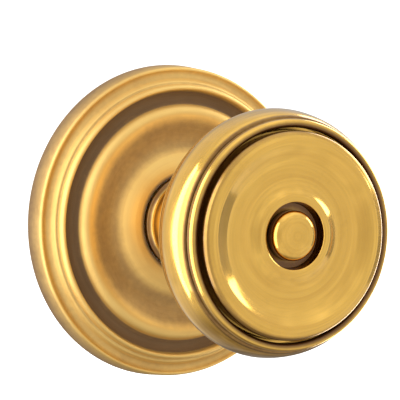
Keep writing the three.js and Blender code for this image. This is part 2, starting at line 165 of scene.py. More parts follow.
def turned(name, outline, steps=TURN_STEPS, patina_and_shade_at=None, about=(0, 0), sharp=30):
    """The outline turned about the axis through `about`, an (x, z) place in millimetres.

    An outline that starts or ends on the axis closes there; any other closes on itself.
    The optional map, called with (radius, height), is stored on each vertex as how much dark colour it
    holds: tarnish, and painted shade."""
    bm = bmesh.new()
    patina_and_shade = bm.verts.layers.float.new("patina_and_shade")
    on_axis = outline[0][0] < 1e-6
    rings = []
    for radius, height in outline:
        count = 1 if radius < 1e-6 else steps
        ring = []
        for i in range(count):
            angle = 2 * math.pi * i / steps
            x = about[0] + radius * math.sin(angle)
            z = about[1] + radius * math.cos(angle)
            vert = bm.verts.new((x * MM, -height * MM, z * MM))
            vert[patina_and_shade] = patina_and_shade_at(radius, height) if patina_and_shade_at else 0.0
            ring.append(vert)
        rings.append(ring)
    pairs = list(zip(rings, rings[1:]))
    if not on_axis:
        pairs.append((rings[-1], rings[0]))
    for a, b in pairs:
        for i in range(steps):
            j = (i + 1) % steps
            corners = [a[i % len(a)], a[j % len(a)], b[j % len(b)], b[i % len(b)]]
            corners = list(dict.fromkeys(corners))
            if len(corners) > 2:
                bm.faces.new(corners)
    return finished(name, bm, sharp)


def across(name, outline, steps):
    """An outline turned about a line straight down from the axis, at the grub screw's height."""
    mesh = turned(name, outline, steps)
    mesh.transform(Matrix.Translation((0, -GRUB_HEIGHT * MM, 0)) @ Matrix.Rotation(math.pi / 2, 4, "X"))
    return mesh


def patina_and_shade_zones(*zones):
    """A map of dark zones, (radius, height, reach, strength), which fade over their outer half; they stand
    for tarnish and for painted shade.
    """
    def patina_and_shade_at(radius, height):
        level = 0.0
        for r, h, reach, strength in zones:
            near = min(1.0, max(0.0, 2 - 2 * math.hypot(radius - r, height - h) / reach))
            level = max(level, strength * near * near * (3 - 2 * near))
        return level
    return patina_and_shade_at


def circle(radius, steps, x=0, y=0):
    """Points evenly round a circle about (x, y)."""
    return [
        (x + radius * math.cos(2 * math.pi * i / steps), y + radius * math.sin(2 * math.pi * i / steps))
        for i in range(steps)
    ]


def flat_piece(name, outline, low, high, holes=(), bevel=0.12):
    """A flat outline with holes, made solid between two heights, its edges softly rounded.

    The rims are inset, so the piece keeps its outer size."""
    curve = bpy.data.curves.new(name, "CURVE")
    curve.dimensions = "2D"
    curve.fill_mode = "BOTH"
    for loop in [outline, *holes]:
        spline = curve.splines.new("POLY")
        spline.points.add(len(loop) - 1)
        for point, (x, y) in zip(spline.points, loop):
            point.co = (x * MM, y * MM, 0, 1)
        spline.use_cyclic_u = True
    curve.extrude = ((high - low) / 2 - bevel) * MM
    curve.bevel_depth = bevel * MM
    curve.offset = -bevel * MM
    curve.bevel_resolution = 2
    obj = bpy.data.objects.new(name, curve)
    bpy.context.scene.collection.objects.link(obj)
    bpy.context.view_layer.update()
    mesh = bpy.data.meshes.new_from_object(obj.evaluated_get(bpy.context.evaluated_depsgraph_get()))
    bpy.data.objects.remove(obj)
    # Local Z, the thickness, becomes -Y, out of the door; local Y becomes +Z, up.
    mesh.transform(Matrix.Translation((0, -(high + low) / 2 * MM, 0)) @ Matrix.Rotation(math.pi / 2, 4, "X"))
    bm = bmesh.new()
    bm.from_mesh(mesh)
    return finished(name, bm)


def joined(name, base, added=(), removed=()):
    """base with the meshes in `added` welded on, then cut by those in `removed`."""
    obj = bpy.data.objects.new(name, base)
    bpy.context.scene.collection.objects.link(obj)
    tools = []
    for operation, meshes in (("UNION", added), ("DIFFERENCE", removed)):
        for mesh in meshes:
            tool = bpy.data.objects.new("tool", mesh)
            bpy.context.scene.collection.objects.link(tool)
            modifier = obj.modifiers.new("cut", "BOOLEAN")
            modifier.operation = operation
            modifier.solver = "EXACT"
            modifier.object = tool
            tools.append(tool)
    bpy.context.view_layer.update()
    mesh = bpy.data.meshes.new_from_object(obj.evaluated_get(bpy.context.evaluated_depsgraph_get()))
    for extra in [obj, *tools]:
        bpy.data.objects.remove(extra)
    bm = bmesh.new()
    bm.from_mesh(mesh)
    bmesh.ops.remove_doubles(bm, verts=bm.verts, dist=SLIVER)
    return finished(name, bm)


def bar(name, half, low, high, nose=0.0, bevel=0.25):
    """A square bar along the axis, its edges rounded and its far end tapered by `nose`."""
    bm = bmesh.new()
    sections = [(high, half), (low + nose, half), (low, half - nose * 0.6)]
    rings = []
    for height, size in sections:
        corners = [(-size, -size), (size, -size), (size, size), (-size, size)]
        rings.append([bm.verts.new((x * MM, -height * MM, z * MM)) for x, z in corners])
    for a, b in zip(rings, rings[1:]):
        for i in range(4):
            bm.faces.new([a[i], a[(i + 1) % 4], b[(i + 1) % 4], b[i]])
    bm.faces.new(rings[0])
    bm.faces.new(rings[-1][::-1])
    bmesh.ops.recalc_face_normals(bm, faces=bm.faces)
    edges = [e for e in bm.edges if e.calc_face_angle() > math.radians(10)]
    bmesh.ops.bevel(bm, geom=edges, offset=bevel * MM, segments=3, profile=0.5, affect="EDGES")
    return finished(name, bm, 60)


def wire(name, points, radius, sides=16, steps=14):
    """Round wire along a smooth line of (x, height, z) points, with closed ends."""
    p = np.array([(x, -h, z) for x, h, z in smooth(points, steps)]) * MM
    along = np.gradient(p, axis=0)
    along /= np.linalg.norm(along, axis=1)[:, None]
    side = np.cross(along[0], (0, 1, 0) if abs(along[0][1]) < 0.9 else (1, 0, 0))
    bm = bmesh.new()
    rings = []
    for centre, tangent in zip(p, along):
        side = side - tangent * (side @ tangent)
        side /= np.linalg.norm(side)
        up = np.cross(tangent, side)
        ring = []
        for i in range(sides):
            a = 2 * math.pi * i / sides
            ring.append(bm.verts.new(centre + radius * MM * (math.cos(a) * side + math.sin(a) * up)))
        rings.append(ring)
    for a, b in zip(rings, rings[1:]):
        for i in range(sides):
            bm.faces.new([a[i], a[(i + 1) % sides], b[(i + 1) % sides], b[i]])
    bm.faces.new(rings[0])
    bm.faces.new(rings[-1][::-1])
    return finished(name, bm, 60)


# ---- Materials ---------------------------------------------------------------------------------

class Graph:
    """A node tree and short ways to add to it."""

    def __init__(self, tree):
        self.tree = tree

    def node(self, kind, inputs=(), **settings):
        """A new node, each input either linked to a socket or set to a value."""
        made = self.tree.nodes.new(kind)
        for key, value in settings.items():
            setattr(made, key, value)
        for key, value in dict(inputs).items():
            if isinstance(value, bpy.types.NodeSocket):
                self.tree.links.new(value, made.inputs[key])
            else:
                made.inputs[key].default_value = value
        return made

    def maths(self, operation, *values):
        return self.node("ShaderNodeMath", dict(enumerate(values)), operation=operation).outputs[0]

    def remap(self, value, low, high, to_low=0.0, to_high=1.0, kind="LINEAR"):
        sizes = {"Value": value, "From Min": low, "From Max": high, "To Min": to_low, "To Max": to_high}
        return self.node("ShaderNodeMapRange", sizes, interpolation_type=kind).outputs["Result"]

    def mix(self, amount, first, second):
        made = self.node("ShaderNodeMix", data_type="RGBA")
        for socket, value in ((made.inputs[0], amount), (made.inputs[6], first), (made.inputs[7], second)):
            if isinstance(value, bpy.types.NodeSocket):
                self.tree.links.new(value, socket)
            else:
                socket.default_value = (*value, 1.0) if isinstance(value, tuple) else value
        return made.outputs[2]


class Finish(Graph):
    """A material with a Principled shader."""

    def __init__(self, name, metallic=1.0, roughness=0.3, coat=0.0):
        self.material = bpy.data.materials.new(name)
        self.material.use_nodes = True
        super().__init__(self.material.node_tree)
        self.shader = self.tree.nodes["Principled BSDF"]
        self.shader.inputs["Metallic"].default_value = metallic
        self.shader.inputs["Roughness"].default_value = roughness
        self.shader.inputs["Coat Weight"].default_value = coat
        self.shader.inputs["Coat Roughness"].default_value = 0.06
        self.place = self.node("ShaderNodeTexCoord").outputs["Object"]

    def noise(self, scale, detail=3.0, vector=None, distortion=0.0):
        sizes = {"Vector": vector or self.place, "Scale": scale, "Detail": detail, "Distortion": distortion}
        return self.node("ShaderNodeTexNoise", sizes).outputs["Fac"]

    def stretched(self, x, y, z):
        """The object's coordinates scaled by a different amount along each axis."""
        scale = self.node("ShaderNodeMapping", {"Vector": self.place, "Scale": (x, y, z)})
        return scale.outputs["Vector"]

    def rings(self, fine, drift):
        """Coordinates that change fast with the distance from the axis and slowly round it."""
        split = self.node("ShaderNodeSeparateXYZ", {"Vector": self.place})
        x, y, z = split.outputs
        squares = self.maths("ADD", self.maths("MULTIPLY", x, x), self.maths("MULTIPLY", z, z))
        radius = self.maths("SQRT", squares)
        along = self.maths("ADD", radius, self.maths("MULTIPLY", y, 0.9))
        parts = {
            "X": self.maths("MULTIPLY", along, fine),
            "Y": self.maths("MULTIPLY", x, drift),
            "Z": self.maths("MULTIPLY", z, drift),
        }
        return self.node("ShaderNodeCombineXYZ", parts).outputs["Vector"]

    def set(self, name, value):
        self.tree.links.new(value, self.shader.inputs[name])

    def bump(self, height, strength, distance):
        sizes = {"Height": height, "Strength": strength, "Distance": distance}
        self.set("Normal", self.node("ShaderNodeBump", sizes).outputs["Normal"])


def brass(name, tint, deep, dark, roughness, scratch, coat, mottle):
    """Aged brass: turning marks, uneven tone, and a dark colour where the mesh's map asks for it, for
    tarnish and for painted shade.
    """
    f = Finish(name, coat=coat)
    patina_and_shade = f.node("ShaderNodeAttribute", attribute_name="patina_and_shade").outputs["Fac"]
    cloud = f.noise(95, 5, distortion=0.4)
    speck = f.noise(900, 4)
    turning = f.noise(1.0, 4, f.rings(9000, 60))
    fine = f.noise(1.0, 3, f.rings(26000, 220))
    tone = f.mix(f.remap(cloud, 0.38, 0.66, 0.0, mottle), tint, deep)
    arcs = f.noise(1.0, 3, f.rings(1100, 42))
    tone = f.mix(f.remap(turning, 0.35, 0.75, 0.0, 0.22), tone, deep)
    tone = f.mix(f.remap(arcs, 0.42, 0.72, 0.0, 0.5), tone, deep)
    # The dark colour follows the mesh's map of tarnish and painted shade, made ragged by noise.
    edge = f.maths("ADD", patina_and_shade, f.remap(cloud, 0.3, 0.7, -0.06, 0.06))
    amount = f.remap(f.maths("ADD", edge, f.remap(speck, 0.3, 0.7, -0.05, 0.05)), 0.03, 0.95)
    f.set("Base Color", f.mix(amount, tone, dark))
    worn = f.maths("ADD", f.remap(fine, 0.3, 0.8, 0.0, scratch), f.remap(cloud, 0.35, 0.7, 0.0, 0.05))
    rough = f.maths("ADD", worn, f.maths("MULTIPLY", amount, 0.3))
    f.set("Roughness", f.maths("ADD", rough, roughness))
    marks = f.maths("ADD", f.maths("MULTIPLY", turning, 0.6), f.maths("MULTIPLY", fine, 0.4))
    marks = f.maths("ADD", marks, f.maths("MULTIPLY", arcs, 5.0))
    f.bump(f.maths("ADD", marks, f.maths("MULTIPLY", speck, mottle)), 0.5, scratch * 0.00004)
    return f.material


def plated_steel():
    """Zinc plate with a faint warm and blue bloom and a fine grain."""
    f = Finish("zinc_plate", roughness=0.32)
    bloom = f.noise(140, 3, distortion=1.2)
    grain = f.noise(2600, 4)
    tone = f.mix(f.remap(bloom, 0.35, 0.65), (0.5, 0.49, 0.44), (0.42, 0.46, 0.51))
    f.set("Base Color", f.mix(f.remap(grain, 0.3, 0.7, 0.0, 0.25), tone, (0.32, 0.33, 0.34)))
    f.set("Roughness", f.remap(grain, 0.25, 0.75, 0.36, 0.54))
    f.bump(grain, 0.4, 0.00003)
    return f.material


def drawn_steel():
    """Bright steel with long marks along the axis."""
    f = Finish("drawn_steel", roughness=0.45)
    lines = f.noise(1.0, 4, f.stretched(5200, 70, 5200))
    stain = f.noise(160, 3)
    tone = f.mix(f.remap(stain, 0.4, 0.7, 0.0, 0.5), (0.36, 0.36, 0.37), (0.25, 0.24, 0.235))
    f.set("Base Color", tone)
    f.set("Roughness", f.remap(lines, 0.3, 0.7, 0.36, 0.54))
    f.bump(lines, 0.35, 0.00002)
    return f.material


def oiled_steel():
    """Blued spring steel under a film of oil."""
    f = Finish("oiled_steel", roughness=0.3, coat=0.25)
    bloom = f.noise(210, 4, distortion=0.6)
    f.set("Base Color", f.mix(f.remap(bloom, 0.35, 0.7), (0.13, 0.14, 0.17), (0.24, 0.21, 0.19)))
    f.set("Roughness", f.remap(bloom, 0.3, 0.7, 0.24, 0.38))
    f.bump(f.noise(1800, 3), 0.3, 0.00002)
    return f.material


def cast_zinc():
    """Dull grey die-cast metal with a pitted skin."""
    f = Finish("cast_zinc", roughness=0.55)
    grain = f.noise(1500, 5)
    f.set("Base Color", f.mix(f.remap(grain, 0.35, 0.7), (0.42, 0.43, 0.45), (0.3, 0.3, 0.31)))
    f.set("Roughness", f.remap(grain, 0.3, 0.7, 0.45, 0.65))
    f.bump(grain, 0.5, 0.00008)
    return f.material


def nylon():
    """Off-white moulded nylon, a little translucent."""
    f = Finish("nylon", metallic=0.0, roughness=0.45)
    f.shader.inputs["Subsurface Weight"].default_value = 0.25
    f.shader.inputs["Subsurface Scale"].default_value = 0.0015
    cloud = f.noise(400, 3)
    f.set("Base Color", f.mix(cloud, (0.84, 0.81, 0.72), (0.74, 0.7, 0.6)))
    f.set("Roughness", f.remap(cloud, 0.3, 0.7, 0.38, 0.52))
    f.bump(f.noise(2400, 3), 0.3, 0.00003)
    return f.material


# The third colour of each brass is its dark one, for tarnish in hollows and for painted shade.
SATIN = brass(
    "satin_brass", (0.88, 0.62, 0.215), (0.78, 0.5, 0.16), (0.33, 0.22, 0.12),
    roughness=0.48, scratch=0.14, coat=0.0, mottle=0.4,
)
POLISHED = brass(
    "polished_brass", (0.88, 0.53, 0.095), (0.69, 0.375, 0.055), (0.17, 0.07, 0.01),
    roughness=0.07, scratch=0.1, coat=0.8, mottle=0.25,
)
PLATED = plated_steel()
BRIGHT = drawn_steel()
OILED = oiled_steel()
ZINC = cast_zinc()
NYLON = nylon()


# ---- Rose and knob: what shows from the front --------------------------------------------------

ROSE_RADIUS, _, ROSE_TOP = extent("rose")
KNOB_RADIUS, NECK_FOOT, SHELL_TOP = extent("knob_back_shell")
_, _, BEAD_TOP = extent("rim_ring")
FACE_RADIUS, FACE_FOOT, _ = extent("knob_face")
BOSS_RADIUS, BOSS_FOOT, BOSS_TOP = extent("centre_boss")
BORE = 10.4
BEAD_RADIUS = 0.9
BEAD_CENTRE = 22.87
RECESS_RADIUS = 6.88
RECESS_FLOOR = 50.6
NECK_RADIUS = 10.2
WAIST_RADIUS = 9.2
SHELL_WALL = 1.2


def rose():
    """Tapered rim, shallow cove, tall bead, dark groove, dome, shallow valley and the neck's lip."""
    rim = ROSE_RADIUS
    rim_edge = [(rim - 0.45, 4.85), (rim - 0.7, 5.12), (rim - 1, 5.1)]
    cove = [(32.0, 4.85), (31.5, 4.72), (31.0, 4.85), (30.55, 5.2), (30.2, 5.72), (29.9, 6.1), (29.6, 6.22)]
    bead = [(29.4, 6.35), (29.32, 6.8), (29.15, 7.35), (28.85, 7.75), (28.5, 7.84), (28.2, 7.6)]
    dome = [
        (27.7, 6.5), (27.1, 6.15), (26.4, 6.08), (25.8, 6.3), (25.4, 6.95), (25.1, 7.75), (24.7, 8.5),
        (24.1, 9.05), (23.3, 9.3), (22.4, 9.2), (21.3, 8.8), (20.2, 8.25), (19.1, 7.75), (18.2, 7.5),
        (17.4, 7.43), (16.5, 7.6), (15.3, 8.15), (13.9, 8.92), (12.5, 9.48), (11.4, ROSE_TOP - 0.02),
    ]
    front = [(rim, 0.25), (rim - 0.3, 4.4)] + smooth(rim_edge, 6) + smooth(cove, 8)
    front += smooth(bead) + [(28.0, 7.05)] + smooth(dome)
    bore = [(BORE + 0.1, ROSE_TOP - 0.05), (BORE, 9.4), (BORE, 8.1)]
    under = [
        (12.6, 8.1), (17.8, 6.1), (22.6, 7.1), (24.8, 5.1), (28.9, 4.9), (29.8, 2.8), (31.9, 2.8),
        (31.9, 1.5), (31.4, 1.2), (31.4, 0),
    ]
    patina_and_shade_at = patina_and_shade_zones(
        (26.7, 6.2, 1.9, 1.05),  # groove
        (25.9, 6.9, 1.35, 0.95),  # foot of the dome
        (31.3, 4.7, 1.3, 0.25),  # cove
        (rim + 0.5, 1.9, 3.5, 1.0),  # side of the rim
        (29.4, 6.1, 0.5, 0.3),  # painted shadow line at the foot of the bead
        (19.0, 6.4, 5.2, 0.6),  # valley: patina, and painted shade on its slope that faces away from the light
        (10.3, 9.2, 1.0, 1.1),  # painted shadow ring round the neck's lip
        (25.0, 2.0, 4.0, 0.5),  # painted shade on the underside
    )
    outline = eased(front + bore + under + [(rim - 0.2, 0)], 0.15)
    mesh = turned("rose", outline, patina_and_shade_at=patina_and_shade_at)
    piece("rose_cover", mesh, "rose_assembly", "satin_brass", SATIN, "rose")


def knob():
    """Spun back shell, rim bead, dished face and centre boss."""
    bore = WAIST_RADIUS - SHELL_WALL
    foot = NECK_FOOT + 0.02
    barrel = [
        (9.75, 10.65), (9.35, 11.1), (WAIST_RADIUS, 12), (9.18, 15), (9.3, 19), (9.8, 23),
        (11, 26.8), (13.1, 29.8), (16, 32.1), (19.2, 34.1), (22, 36.4), (24.1, 39.2),
        (25.3, 42), (KNOB_RADIUS - 0.02, 44), (25.45, 46.2), (24.95, 48.2), (24.2, 49.55),
    ]
    outside = [(NECK_RADIUS, foot), (NECK_RADIUS, 10.35)] + smooth(barrel)
    outside += [(23.8, SHELL_TOP - 0.02), (23.15, SHELL_TOP - 0.02)]
    inside = smooth([(23.9, 46.6), (24.35, 43.6), (23.2, 40), (20, 36.4), (15.6, 33.6), (11.2, 30.6),
                     (8.9, 26), (bore + 0.05, 20)], 6)
    patina_and_shade_at = patina_and_shade_zones(
        (10.4, 10.4, 1.5, 0.9),  # painted shade ring where the neck meets the rose
        (24.2, 50.0, 1.1, 0.8),  # crease at the bead: patina and painted shade
        (16, 30, 9.0, 0.12),  # painted shade in the hollow of the flare
        (bore, 9.5, 1.2, 0.7),  # painted shade inside the neck
    )
    shell = turned("knob_back_shell", eased(outside + inside + [(bore, foot)], 0.12), patina_and_shade_at=patina_and_shade_at)
    hole = across("tool", [(0, 12.2), (2.5, 12.2), (2.5, 5), (0, 5)], SMALL_STEPS)
    shell = joined("knob_back_shell", shell, removed=[hole])
    piece("knob_barrel", shell, "knob", "polished_brass", POLISHED, "knob_back_shell")

    centre = BEAD_TOP - BEAD_RADIUS - 0.02
    bead = arc(BEAD_CENTRE, centre, BEAD_RADIUS, 195, -38, 30)
    ledge = [(23.85, 50.02), (22.85, 50.0), (22.85, 47.45), (19.65, 47.45), (19.65, 48.55), (22.4, 48.6)]
    rim_patina_and_shade = patina_and_shade_zones(
        (21.6, 50.5, 2.2, 1.3),  # groove
        (22.3, 51.5, 1.0, 0.75),  # inner side of the bead: patina and painted shade
        (23.85, 50.0, 0.8, 0.8),  # crease at the barrel: patina and painted shade
    )
    ring = turned("rim_bead", eased(bead + ledge, 0.08, sharp=35), patina_and_shade_at=rim_patina_and_shade)
    piece("rim_bead", ring, "knob", "polished_brass", POLISHED, "rim_ring")

    edge = FACE_RADIUS + 0.15
    pressing = [
        (edge, 51.95), (edge - 0.06, 52.4), (edge - 0.24, 52.8), (edge - 0.6, 53.15), (20.2, 53.42),
        (19.7, 53.61), (19.3, 53.69), (18.95, 53.68), (18.5, 53.54), (17.95, 53.28), (17.3, 52.96),
        (16.65, 52.67), (16.0, 52.4), (15.35, 52.18), (14.5, 52.04), (13.2, 52.0), (11.8, 52.02),
        (10.8, 52.14), (9.9, 52.4), (9.2, 52.7), (8.7, 52.95), (8.25, 53.13), (7.8, 53.2), (7.35, 53.15),
    ]
    face = [(20.15, FACE_FOOT), (edge, FACE_FOOT), (edge, 51.6)] + smooth(pressing)
    face += [(RECESS_RADIUS + 0.05, 52.95), (RECESS_RADIUS - 0.2, RECESS_FLOOR), (2.1, RECESS_FLOOR)]
    face += [(2.1, 49.3), (8.8, 49.3), (12.4, 50.2), (18, 51.9), (20.1, 51)]
    face_patina_and_shade = patina_and_shade_zones(
        (22.2, 50.6, 3.3, 1.0),  # groove round the face
        (20.9, 52.4, 1.2, 0.55),  # painted shade on the shoulder of the face, beside the bead
        (6.1, 50.6, 2.1, 1.1),  # recess round the boss
    )
    dish = turned("knob_face", eased(face, 0.12), patina_and_shade_at=face_patina_and_shade)
    piece("dished_face", dish, "knob", "polished_brass", POLISHED, "knob_face")

    crown = [
        (0, BOSS_TOP - 0.01), (1.5, BOSS_TOP - 0.03), (2.8, 53.87), (3.6, 53.75), (4.3, 53.48),
        (4.85, 53.03), (5.15, 52.45), (BOSS_RADIUS + 0.08, 51.8), (BOSS_RADIUS + 0.1, 50.9),
    ]
    screw = [(BOSS_RADIUS + 0.1, BOSS_FOOT + 9.4), (1.8, BOSS_FOOT + 9.4), (1.8, BOSS_FOOT + 0.4)]
    boss = smooth(crown) + screw + [(1.4, BOSS_FOOT), (0, BOSS_FOOT)]
    button = turned("centre_boss", eased(boss, 0.1, closed=False), 192, patina_and_shade_at=face_patina_and_shade)
    piece("boss_button", button, "knob", "polished_brass", POLISHED, "centre_boss")


rose()
knob()


# ---- Behind the rose: bushes, plate, posts, spurs and rivets -----------------------------------

POST_THREADS = 16
POST_PITCH = 0.7
GRUB_THREADS = 7
GRUB_PITCH = 0.58


def bushes():
    """Nylon rings that carry the shank, in the rose's bore and in the plate."""
    ring = [(7.7, 6.4), (12.4, 6.4), (12.4, 7.6), (10.3, 7.6), (10.3, 8.7), (7.7, 8.7)]
    mesh = turned("rose_bush", eased(ring, 0.25), 144)
    piece("rose_guide_ring", mesh, "rose_assembly", "nylon", NYLON, "rose_bush")
    ring = [(7.7, 0), (9.6, 0), (9.6, 1.9), (11.4, 1.9), (11.4, 3.4), (7.7, 3.4)]
    mesh = turned("bearing_bush", eased(ring, 0.25), 144)
    piece("shank_bush", mesh, "rose_assembly", "nylon", NYLON, "bearing_bush")


def mounting_plate():
    """Round plate on the door, with a hole for everything that goes through it."""
    radius, low, high = extent("mounting_plate")
    holes = [circle(9.9, 96)]
    for node, size in [("post_left", 2.5), ("post_right", 2.5), ("spur_left", 1.4), ("spur_right", 1.4)]:
        x, _, z = middle(node)
        holes.append(circle(size, 32, x, z))
    for node in RIVETS:
        x, _, z = middle(node)
        holes.append(circle(1.4, 32, x, z))
    mesh = flat_piece("mounting_plate", circle(radius, 192), low, high, holes)
    piece("back_plate", mesh, "rose_assembly", "plated_steel", PLATED, "mounting_plate")


def fasteners():
    """Posts, spurs and rivets, each turned about its own centre."""
    for side in ("left", "right"):
        x, _, z = middle(f"post_{side}")
        _, low, high = extent(f"post_{side}")
        post = [(0, high), (3.2, high), (3.2, 1.9), (2.2, 1.9), (2.2, -0.3), (3.5, -0.3),
                (3.5, low + 0.6), (2.9, low), (1.85, low)]
        thread = []
        for i in range(POST_THREADS):
            depth = low + 0.4 + i * POST_PITCH
            thread += [(1.7, depth), (1.95, depth + POST_PITCH / 2)]
        post += thread + [(1.7, low + 11.9), (0, low + 12.9)]
        mesh = turned(f"post_{side}", eased(post, 0.18, closed=False), SMALL_STEPS, about=(x, z))
        piece(f"threaded_post_{side}", mesh, "rose_assembly", "plated_steel", PLATED, f"post_{side}")
        x, _, z = middle(f"spur_{side}")
        _, low, high = extent(f"spur_{side}")
        spur = [(0, high), (1.2, high), (2, high - 0.7), (1.1, high - 0.7), (1.1, -0.9), (0, low)]
        mesh = turned(f"spur_{side}", eased(spur, 0.08, closed=False), SMALL_STEPS, about=(x, z))
        piece(f"door_spur_{side}", mesh, "rose_assembly", "bright_steel", BRIGHT, f"spur_{side}")
    for node in RIVETS:
        x, _, z = middle(node)
        _, low, high = extent(node)
        rivet = (
            smooth([(0, high), (0.9, high - 0.08), (1.55, high - 0.4), (1.8, high - 0.68)], 5)
            + [(1.1, high - 0.7), (1.1, low + 0.6)]
            + smooth([(1.7, low + 0.58), (1.45, low + 0.3), (0.9, low + 0.05), (0, low)], 5)
        )
        mesh = turned(node, eased(rivet, 0.05, closed=False), 40, about=(x, z))
        piece(f"{node}_head", mesh, "rose_assembly", "bright_steel", BRIGHT, node)


bushes()
mounting_plate()
fasteners()


# ---- Mechanism: clips, spring housing, spring, hub, core and spindle ---------------------------

CLIP_ANGLES = (90, 210, 330)
EAR_ANGLES = (45, 135, 225, 315)
EAR_CIRCLE = 16.6
LUG_ANGLE = 90
STOP_HALF = 76.5
COIL_RADIUS = 10.9
COIL_TURNS = 2.5
COIL_REAR = -7.5
COIL_FRONT = -4.2
WIRE_RADIUS = 0.6


def polar(radius, angle):
    """(x, z) of a place at a radius and an angle in degrees: 0 is right and 90 is up."""
    a = math.radians(angle)
    return radius * math.cos(a), radius * math.sin(a)


def sector(radius, start, end, steps=24):
    """A slice of pie between two angles in degrees."""
    return [(0, 0)] + [polar(radius, a) for a in np.linspace(start, end, steps)]


def swung(mesh, angle):
    """The mesh turned about the knob's axis, from pointing right to pointing at `angle`."""
    mesh.transform(Matrix.Rotation(-math.radians(angle), 4, "Y"))
    return mesh


def sheet(line, thick):
    """The outline of a bent strip that follows a line."""
    p = np.array(smooth(line, 5))
    along = np.gradient(p, axis=0)
    normal = np.stack([-along[:, 1], along[:, 0]], 1) / np.linalg.norm(along, axis=1)[:, None]
    return [tuple(q) for q in p + normal * thick / 2] + [tuple(q) for q in (p - normal * thick / 2)[::-1]]


def rose_clips():
    """Bent leaf clips, each with a hump that grips the inside of the rose."""
    for i, angle in enumerate(CLIP_ANGLES, 1):
        line = [(21.4, 2.1), (24, 2.1), (26.3, 2.1), (27.1, 2.35), (27.7, 3.2), (28.25, 3.78),
                (28.8, 3.2), (29.3, 2.35), (30.1, 2.1), (31.58, 2.1)]
        leaf = flat_piece("leaf", sheet(line, 0.4), -3, 3, bevel=0.06)
        leaf.transform(Matrix.Rotation(math.pi / 2, 4, "X"))
        hole = turned("tool", [(0, 0), (1.4, 0), (1.4, 4.5), (0, 4.5)], 40, about=(23.6, 0))
        leaf = swung(joined(f"rose_clip_{i}", leaf, removed=[hole]), angle)
        piece(f"leaf_clip_{i}", leaf, "rose_assembly", "spring_steel", OILED, f"rose_clip_{i}")


def spring_housing():
    """Pressed cup with riveted ears, a slot for the spring's leg and a step that stops the lug."""
    outside = [(8, -9.58), (13.2, -9.58), (14.18, -8.7), (14.18, -0.32)]
    inside = [(12.9, -0.32), (12.9, -8.2), (12.4, -8.6), (8, -8.6)]
    cup = turned("cup", eased(outside + inside, 0.3), 144)
    step = turned("step", eased([(11.5, -2.5), (13.4, -2.5), (13.4, -0.7), (11.5, -0.7)], 0.15), 144)
    gap = flat_piece("tool", sector(20, LUG_ANGLE - STOP_HALF, LUG_ANGLE + STOP_HALF), -4, 0, bevel=0)
    step = joined("step", step, removed=[gap])
    ears = []
    for angle in EAR_ANGLES:
        tab = [(13.3, -2.5)] + arc(EAR_CIRCLE, 0, 2.68, -68, 68, 24) + [(13.3, 2.5)]
        hole = circle(1.4, 32, EAR_CIRCLE, 0)
        ears.append(swung(flat_piece("ear", tab, -1.5, -0.34, [hole], bevel=0.1), angle))
    slot = bar("tool", 1.3, COIL_REAR - 1.3, COIL_REAR + 1.3, bevel=0.2)
    slot.transform(Matrix.Diagonal((1, 1, 2, 1)))
    slot.transform(Matrix.Translation((0, 0, -13.9 * MM)))
    mesh = joined("spring_housing", cup, added=[step, *ears], removed=[slot])
    piece("spring_cup", mesh, "rose_assembly", "plated_steel", PLATED, "spring_housing")


def hub():
    """Hub keyed to the shank by two flats, with the lug and a hole for the spring's front leg."""
    barrel = [(5, -8.2), (9.3, -8.2), (9.3, -2.5), (11.18, -2.3), (11.18, -0.92), (5, -0.92)]
    barrel = turned("barrel", eased(barrel, 0.25), 144)
    lug = flat_piece("lug", sector(12.45, LUG_ANGLE - 15, LUG_ANGLE + 15), -2.28, -0.94, bevel=0.12)
    flat = math.degrees(math.asin(6.4 / 7.6))
    bore = arc(0, 0, 7.6, -flat, flat, 32) + arc(0, 0, 7.6, 180 - flat, 180 + flat, 32)
    bore = flat_piece("tool", bore, -10, 1, bevel=0)
    leg = turned("tool", [(0, -4), (0.9, -4), (0.9, 0), (0, 0)], 32, about=polar(COIL_RADIUS, LUG_ANGLE))
    mesh = joined("hub", barrel, added=[lug], removed=[bore, leg])
    piece("spring_hub", mesh, "knob", "bright_steel", BRIGHT, "hub")


def return_spring():
    """Torsion spring, from its leg in the housing's slot to its leg in the hub."""
    def at(radius, angle, height):
        x, z = polar(radius, angle)
        return x, height, z

    start = LUG_ANGLE - 360 * COIL_TURNS
    points = [at(14.78, start, COIL_REAR), at(13.4, start, COIL_REAR), at(12.0, start + 2, COIL_REAR)]
    steps = round(COIL_TURNS * 16)
    for i in range(1, steps):
        along = i / steps
        points.append(at(COIL_RADIUS, start + 360 * COIL_TURNS * along,
                         COIL_REAR + (COIL_FRONT - COIL_REAR) * along))
    points += [at(COIL_RADIUS, LUG_ANGLE, COIL_FRONT + 0.9), at(COIL_RADIUS, LUG_ANGLE, -2.2),
               at(COIL_RADIUS, LUG_ANGLE, -1.22)]
    mesh = wire("return_spring", points, WIRE_RADIUS - 0.02, steps=6)
    piece("torsion_spring", mesh, "rose_assembly", "spring_steel", OILED, "return_spring")


def washer_and_circlip():
    """Washer behind the housing, and the open ring with two drilled ears that holds the shank."""
    _, low, high = extent("thrust_washer")
    washer = turned("thrust_washer", eased([(7.7, low), (10.98, low), (10.98, high), (7.7, high)], 0.2), 144)
    piece("washer_ring", washer, "knob", "bright_steel", BRIGHT, "thrust_washer")
    _, low, high = extent("circlip")
    ring = flat_piece("ring", circle(8.78, 144), low, high, [circle(6.8, 144)])
    ears, cuts = [], [flat_piece("tool", sector(14, -110, -70), low - 1, high + 1, bevel=0)]
    for angle in (-120, -60):
        x, z = polar(8.98, angle)
        ears.append(flat_piece("ear", circle(1.58, 48, x, z), low, high))
        cuts.append(flat_piece("tool", circle(0.7, 24, x, z), low - 1, high + 1, bevel=0))
    mesh = joined("circlip", ring, added=ears, removed=cuts)
    piece("retaining_ring", mesh, "knob", "spring_steel", OILED, "circlip")


